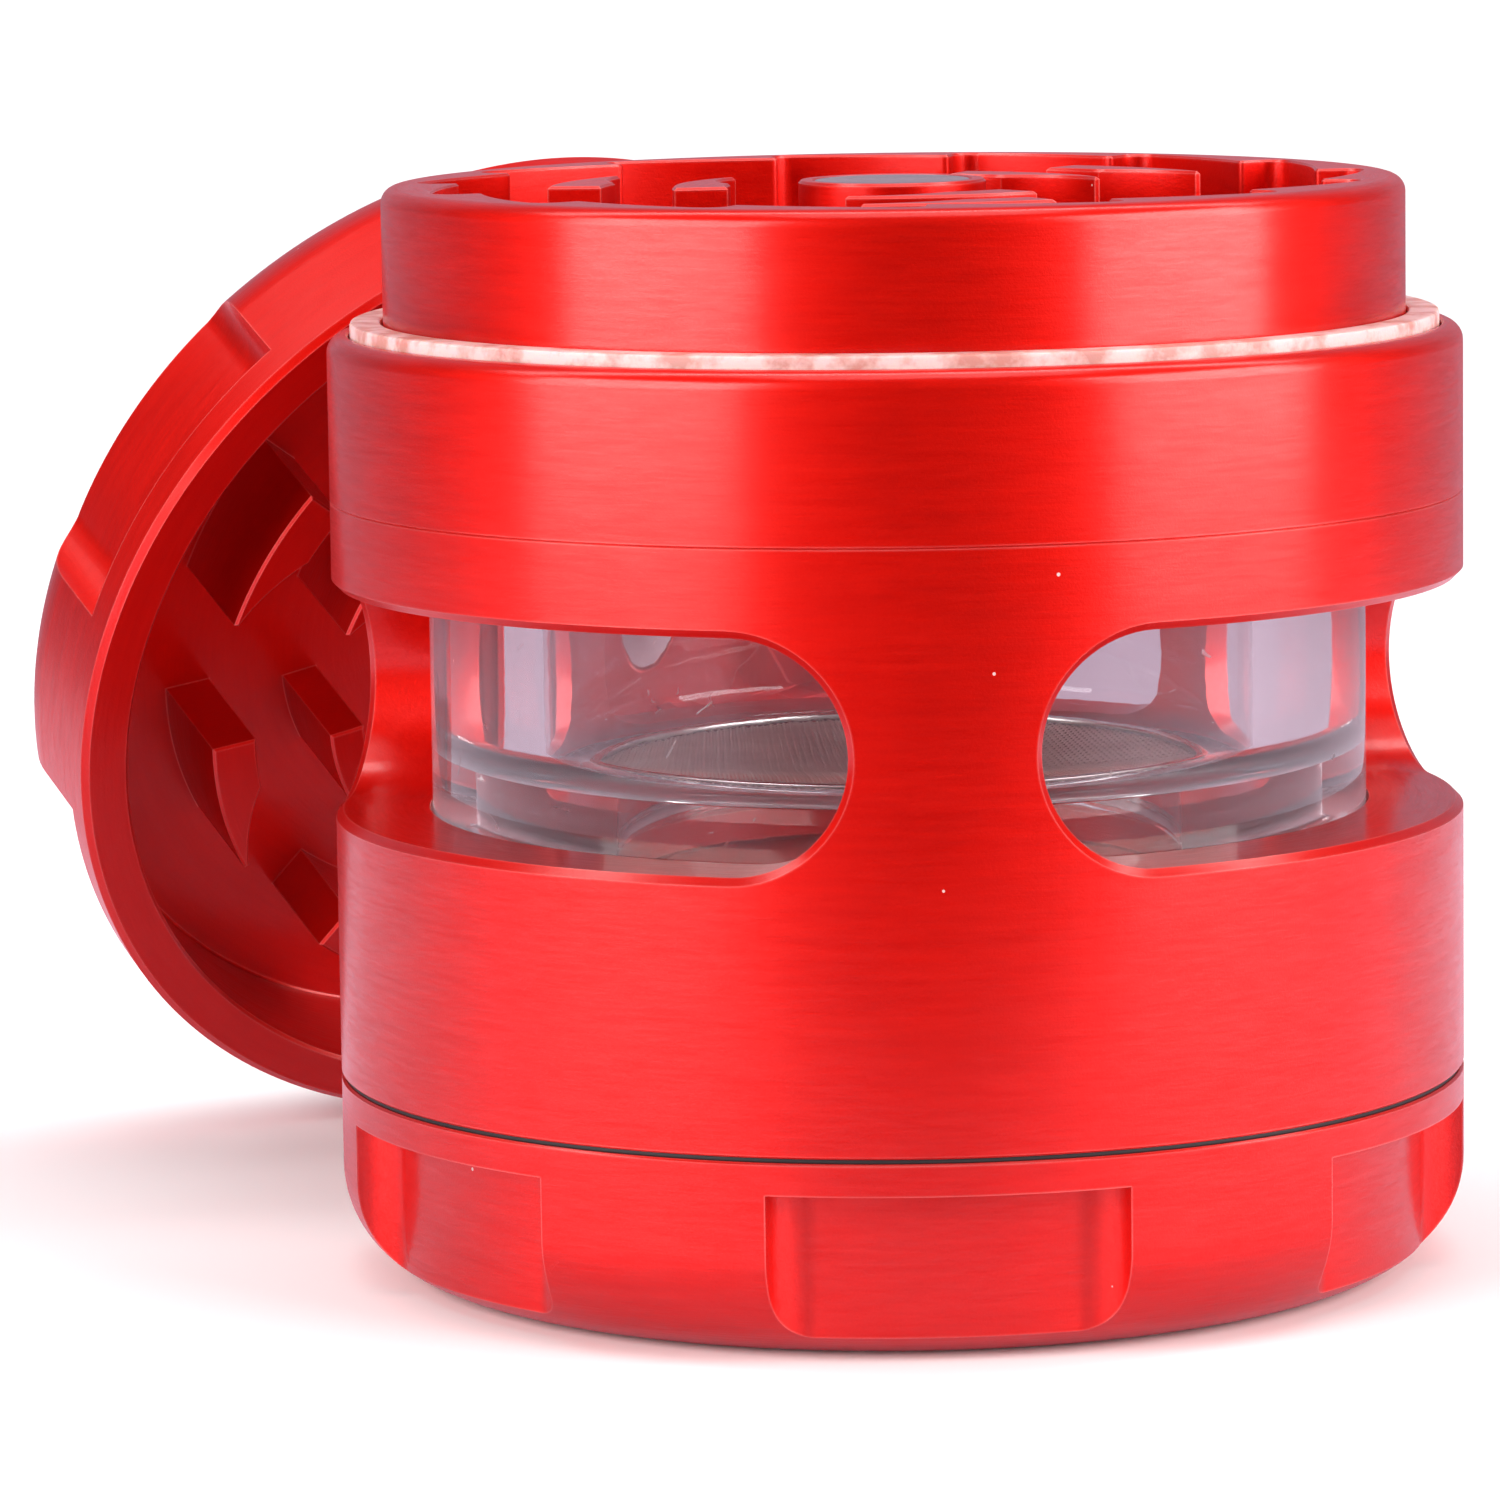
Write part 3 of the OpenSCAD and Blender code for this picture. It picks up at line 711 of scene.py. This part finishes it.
def makeHousing():
    h = housing
    body = turned("windowHousing", [
        (h["spigot"], h["spigotLow"], 0.3, 1), (h["spigot"], h["low"], 0, 0),
        (h["radius"], h["low"], 0.10, 1),
        (h["radius"], h["high"], 0.06, 1), (h["washerBore"], h["high"], 0.1, 1),
        (h["washerBore"], h["washerFloor"], 0, 0), (h["threadBore"], h["washerFloor"], 0.2, 1),
        (h["threadBore"], h["threadLow"], 0, 0), (h["insertBore"], h["threadLow"], 0.15, 1),
        (h["insertBore"], h["shelfHigh"], 0, 0), (h["shelfRadius"], h["shelfHigh"], 0.2, 1),
        (h["shelfRadius"], h["shelfLow"], 0.2, 1), (h["dropBore"], h["shelfLow"], 0.3, 1),
        (h["dropBore"], h["spigotLow"], 0.25, 1)])
    cutAway(body, windowCutter())
    return finishPiece(body, "chamber", redUpright, ["window_housing"])


insert = {"radius": 26.1, "bore": 19.8, "low": 24.2, "high": 39.4, "ledge": 28.2, "ledgeRadius": 15.8,
          "round": 2.2}
screen = {"radius": 17.4, "low": 28.2, "thickness": 0.3, "pitch": 0.42, "wire": 0.066, "wave": 0.074}


def makeInsert():
    i = insert
    ring = turned("clearInsert", [
        (i["ledgeRadius"], i["low"], 0.5, 5), (i["radius"], i["low"], 0.7, 6),
        (i["radius"], i["high"], 0.5, 5),
        (i["bore"], i["high"], 0.5, 5), (i["bore"], i["ledge"], i["round"], 12),
        (i["ledgeRadius"], i["ledge"], 0.25, 4)])
    return finishPiece(ring, "chamber", clearGlass, ["clear_insert"], 50)


def makeScreen():
    s = screen
    mesh = addObject("wovenScreen", [(0, 0, 0)])
    runTree(mesh, weaveTree, radius=(s["radius"] - 0.12) * mm, pitch=s["pitch"] * mm,
            wireRadius=s["wire"] * mm, wave=s["wave"] * mm,
            height=(s["low"] + s["thickness"] / 2) * mm, material=wire)
    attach(mesh, "chamber")
    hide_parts("screen")
    print("made", mesh.name, len(mesh.data.polygons), "faces")
    return mesh


def finOutline(inner, outer, span, tipWidth=0.3, steps=14):
    a = Vector(polar(inner, span * 0.42))
    tip = Vector(polar(outer - tipWidth, span))
    cut = inner * 0.62
    chord = tip - a
    away = Vector((-chord.y, chord.x)).normalized()
    middle = (a + tip) / 2 + away * math.sqrt(cut * cut - (chord.length / 2) ** 2)
    points = [polar(inner, 0)] + [polar(outer, span * k / steps) for k in range(steps + 1)]
    first, last = tip - middle, a - middle
    turn = math.atan2(first.x * last.y - first.y * last.x, first.dot(last))
    for k in range(steps + 1):
        t = turn * k / steps
        points.append((middle.x + first.x * math.cos(t) - first.y * math.sin(t),
                       middle.y + first.x * math.sin(t) + first.y * math.cos(t)))
    for k in range(5, 0, -1):
        points.append(polar(inner, span * 0.42 * k / 6))
    return points


plate = {"spigot": 28.5, "spigotInner": 24.5, "low": 40.2, "seam": 43.3, "recessTop": 46.5, "radius": 31.5,
         "flangeTop": 52.5, "flangeRound": 1.0, "collar": 28.35, "collarRound": 0.9, "rim": 60.6,
         "grooveOuter": 30.32, "cavityFloor": 52.0, "scallops": 15, "scallopStart": -90.5, "deep": 26.8,
         "tip": 24.1, "shift": 6.6, "corner": 1.1, "boss": 5.2, "magnet": 4.4, "magnetDepth": 2.6,
         "finTop": 60.35, "holes": ((18, 21.6, 2.1), (10, 14.2, 1.7), (6, 7.3, 1.3)),
         "fins": ((3, 22.5, 16.2, 19.2, 32), (3, 35.5, 9.2, 12.2, 52))}


def scallopCutter():
    p = plate
    step = 360 / p["scallops"]
    lag = math.radians(90 - step)
    cut = math.hypot(p["deep"] - p["shift"] * math.cos(lag), p["shift"] * math.sin(lag))
    points = []
    for i in range(p["scallops"]):
        turn = p["scallopStart"] + i * step
        for k in range(1, 21):
            local = math.radians(-step + (step - 3.2) * k / 20)
            r = max(p["tip"], p["shift"] * math.cos(local - lag)
                    + math.sqrt(cut ** 2 - (p["shift"] * math.sin(local - lag)) ** 2))
            points.append(polar(r, turn + math.degrees(local)) + (0, 0))
        points.append(polar(p["deep"] - 0.05, turn) + (p["corner"], 7))
        points.append(polar(p["tip"], turn) + (0.25, 4))
    return prism("scallop cutter", roundCorners(points), p["cavityFloor"], p["rim"], -0.12)


def makePlate():
    p = plate
    body = turned("grindingPlate", [
        (0, p["recessTop"], 0, 0), (p["spigotInner"], p["recessTop"], 0.5, 4),
        (p["spigotInner"], p["low"], 0.2, 1),
        (p["spigot"], p["low"], 0.3, 1), (p["spigot"], p["seam"], 0, 0), (p["radius"], p["seam"], 0.08, 1),
        (p["radius"], p["flangeTop"], p["flangeRound"], 8), (p["grooveOuter"], p["flangeTop"], 0.12, 1),
        (p["grooveOuter"], p["cavityFloor"], 0, 0), (p["collar"], p["cavityFloor"], 0, 0),
        (p["collar"], p["rim"], p["collarRound"], 8), (0, p["rim"], 0, 0)])
    cutAway(body, scallopCutter())
    for count, lane, size in p["holes"]:
        outline = [(lane + size * math.cos(math.radians(a)), size * math.sin(math.radians(a)))
                   for a in range(0, 360, 9)]
        hole = prism("hole cutter", outline, p["low"], p["cavityFloor"], -0.2)
        cutAway(body, ringOf(hole, count, 180 / count))
    teeth = []
    for count, start, inner, outer, span in p["fins"]:
        outline = [(x, -y) for x, y in finOutline(inner, outer, span)]
        tooth = prism("tooth", outline, p["cavityFloor"] - 0.5, p["finTop"], 0.15)
        teeth.append(ringOf(tooth, count, -90 + start))
    teeth.append(turned("boss", [
        (0, p["cavityFloor"] - 0.5, 0, 0), (p["boss"], p["cavityFloor"] - 0.5, 0, 0),
        (p["boss"], p["rim"], 0.15, 1),
        (p["magnet"], p["rim"], 0.08, 1), (p["magnet"], p["rim"] - p["magnetDepth"], 0, 0),
        (0, p["rim"] - p["magnetDepth"], 0, 0)]))
    joinInto(body, teeth)
    return finishPiece(body, "plate", redUpright, ["grinding_plate"])


def magnetDisc(name, high):
    low = high - plate["magnetDepth"]
    r = plate["magnet"] - 0.02
    return turned(name, [(0, low, 0, 0), (r, low, 0.2, 3), (r, high, 0.25, 4), (0, high, 0, 0)])


lid = {"radius": 31.5, "height": 12.85, "edgeRound": 6.0, "recess": 28.6, "recessDepth": 8.4, "rimBreak": 0.4,
       "dimpleGap": 2.3, "pocket": 4.45, "teethHigh": 7.5,
       "fins": ((8, 22.3, 20.0, 22.8, 23.5), (8, 26.3, 13.0, 15.2, 18.5))}


def makeLid():
    d = lid
    floor = -d["recessDepth"]
    body = turned("toothedLid", [
        (0, -d["height"], 0, 0), (d["radius"], -d["height"], d["edgeRound"], 20),
        (d["radius"], 0, d["rimBreak"], 1),
        (d["recess"], 0, 0.2, 1), (d["recess"], floor, 0.25, 3), (d["pocket"], floor, 0.1, 1),
        (d["pocket"], floor - plate["magnetDepth"], 0, 0), (0, floor - plate["magnetDepth"], 0, 0)])
    cutAway(body, dimpleCutter(-d["height"] - 1, -d["dimpleGap"]))
    teeth = []
    for count, start, inner, outer, span in d["fins"]:
        tooth = prism("tooth", finOutline(inner, outer, span), floor - 0.5, floor + d["teethHigh"], 0.15)
        teeth.append(ringOf(tooth, count, start))
    joinInto(body, teeth)
    move = lidMatrix()
    move.translation *= mm
    body.data.transform(move)
    return finishPiece(body, "lid", redLeaning, ["lid"])


makeBaseCup()
flatRing("baseWasher", "base_lead", rubber, "base_washer")
makeHousing()
flatRing("lowerSeal", "chamber", silicone, "lower_seal")
makeInsert()
makeScreen()
flatRing("screenRing", "chamber", steel, "screen_ring")
flatRing("upperSeal", "chamber", silicone, "upper_seal")
flatRing("collarWasher", "collar_lead", rubber, "collar_washer")
makePlate()
finishPiece(magnetDisc("plateMagnet", plate["rim"]), "plate", nickel, ["plate_magnet"])
flatRing("slipRing", "slip", slipPlastic, "slip_ring")
makeLid()
lidDisc = magnetDisc("lidMagnet", -lid["recessDepth"])
place = lidMatrix()
place.translation *= mm
lidDisc.data.transform(place)
finishPiece(lidDisc, "lid_carrier", nickel, ["lid_magnet"])


def makeSweep():  # pale floor that curves up into a backdrop
    outline = [(-1.6, 0.0), (0.75, 0.0)]
    for k in range(1, 13):
        t = math.radians(90 * k / 12)
        outline.append((0.75 + 0.45 * math.sin(t), 0.45 - 0.45 * math.cos(t)))
    outline.append((1.2, 1.6))
    verts, faces = [], []
    for y, z in outline:
        verts += [(-1800, y * 1000, z * 1000), (1800, y * 1000, z * 1000)]
    for i in range(len(outline) - 1):
        faces.append((2 * i, 2 * i + 1, 2 * i + 3, 2 * i + 2))
    sweep = addObject("floorSweep", verts, faces)
    for face in sweep.data.polygons:
        face.use_smooth = True
    material, tree, shader = startMaterial("matt white paper", roughness=0.9, specularLevel=0.0)
    # white where the camera sees it; for reflections on the metal it paints a dark sheet in front (painted
    # shade) and lilac at the sides and back, brightest near the object (a painted pool of light), and a dull
    # lilac-grey where it is seen through glass (painted shade)
    where = addNode(tree, "ShaderNodeSeparateXYZ", {
        0: addNode(tree, "ShaderNodeTexCoord").outputs["Object"]})
    side = calc(tree, "ABSOLUTE", where.outputs[0])
    away = calc(tree, "SQRT", calc(tree, "ADD", calc(tree, "MULTIPLY", side, side),
                                   calc(tree, "MULTIPLY", where.outputs[1], where.outputs[1])))
    ahead = calc(tree, "MULTIPLY", calc(tree, "MULTIPLY_ADD", side, 0.55, where.outputs[1]), -1.0)

    def fade(value, near, far):
        return addNode(tree, "ShaderNodeMapRange", {
            "Value": value, "From Min": near, "From Max": far, "To Min": 0.0, "To Max": 1.0},
            interpolation_type="SMOOTHSTEP").outputs[0]

    # painted shade mask: the sweep is painted dark for reflections in front of the object and far from it
    paintedShadeMask = calc(tree, "MAXIMUM", fade(away, 0.16, 0.50), fade(ahead, 0.05, 0.15))
    paintedReflection = mixColour(tree, paintedShadeMask, (0.72, 0.60, 0.72, 1), (0.050, 0.045, 0.05, 1))
    paintedReflection = mixColour(tree, fade(where.outputs[1], 0.12, 0.35), paintedReflection, (0.30, 0.24, 0.30, 1))
    rays = addNode(tree, "ShaderNodeLightPath")
    # seen through the glass the sweep is painted a dull lilac-grey shade instead of white
    paintedOffCamera = mixColour(tree, rays.outputs["Is Transmission Ray"], paintedReflection, (0.40, 0.30, 0.37, 1))
    tree.links.new(mixColour(tree, rays.outputs["Is Camera Ray"], paintedOffCamera, (0.93, 0.93, 0.94, 1)),
                   shader.inputs["Base Color"])
    sweep.data.materials.append(material)


def addSoftbox(name, azimuth, elevation, distance, width, height, radiance, target=(0, 0, 0.03)):
    # azimuth 0 is the camera's side, positive to the right
    a, e = math.radians(azimuth), math.radians(elevation)
    target = Vector(target)
    offset = Vector((math.sin(a) * math.cos(e), -math.cos(a) * math.cos(e), math.sin(e))) * distance
    data = bpy.data.lights.new(name, "AREA")
    data.shape = "RECTANGLE"
    data.size, data.size_y = width, height
    data.energy = radiance * math.pi * width * height
    box = bpy.data.objects.new(name, data)
    box.location = target + offset
    box.rotation_euler = (-offset).to_track_quat("-Z", "Y").to_euler()
    scene.collection.objects.link(box)


makeSweep()
addSoftbox("left softbox", -57, 10, 0.55, 0.46, 0.60, 6.6)
addSoftbox("right softbox", 61, 10, 0.55, 0.46, 0.60, 7.1)
addSoftbox("top softbox", 10, 78, 0.70, 0.50, 0.35, 2.0)
addSoftbox("backdrop lamp", 0, 40, 1.1, 2.6, 0.5, 6.0, target=(0, 1.1, 0.4))

world = bpy.data.worlds.new("studio air")
world.use_nodes = True
world.node_tree.nodes["Background"].inputs["Color"].default_value = (1, 1, 1, 1)
world.node_tree.nodes["Background"].inputs["Strength"].default_value = 0.04
scene.world = world
scene.view_settings.view_transform = "Standard"

lens = {"spot": (-32.21, -409.30, 83.62), "forward": (0.05825, 0.99830), "down": 7.612, "roll": -0.80,
        "length": 177.49}


def makeCamera():
    data = bpy.data.cameras.new("camera")
    data.sensor_width = 36
    data.lens = lens["length"]
    data.clip_start, data.clip_end = 0.01, 20
    camera = bpy.data.objects.new("camera", data)
    camera.location = Vector(lens["spot"]) * mm
    drop = math.radians(lens["down"])
    east, north = lens["forward"]
    look = Vector((east * math.cos(drop), north * math.cos(drop), -math.sin(drop)))
    turn = look.to_track_quat("-Z", "Y") @ Quaternion((0, 0, 1), math.radians(lens["roll"]))
    camera.rotation_euler = turn.to_euler()
    scene.collection.objects.link(camera)
    scene.camera = camera


makeCamera()
print("floor, light and camera ready")
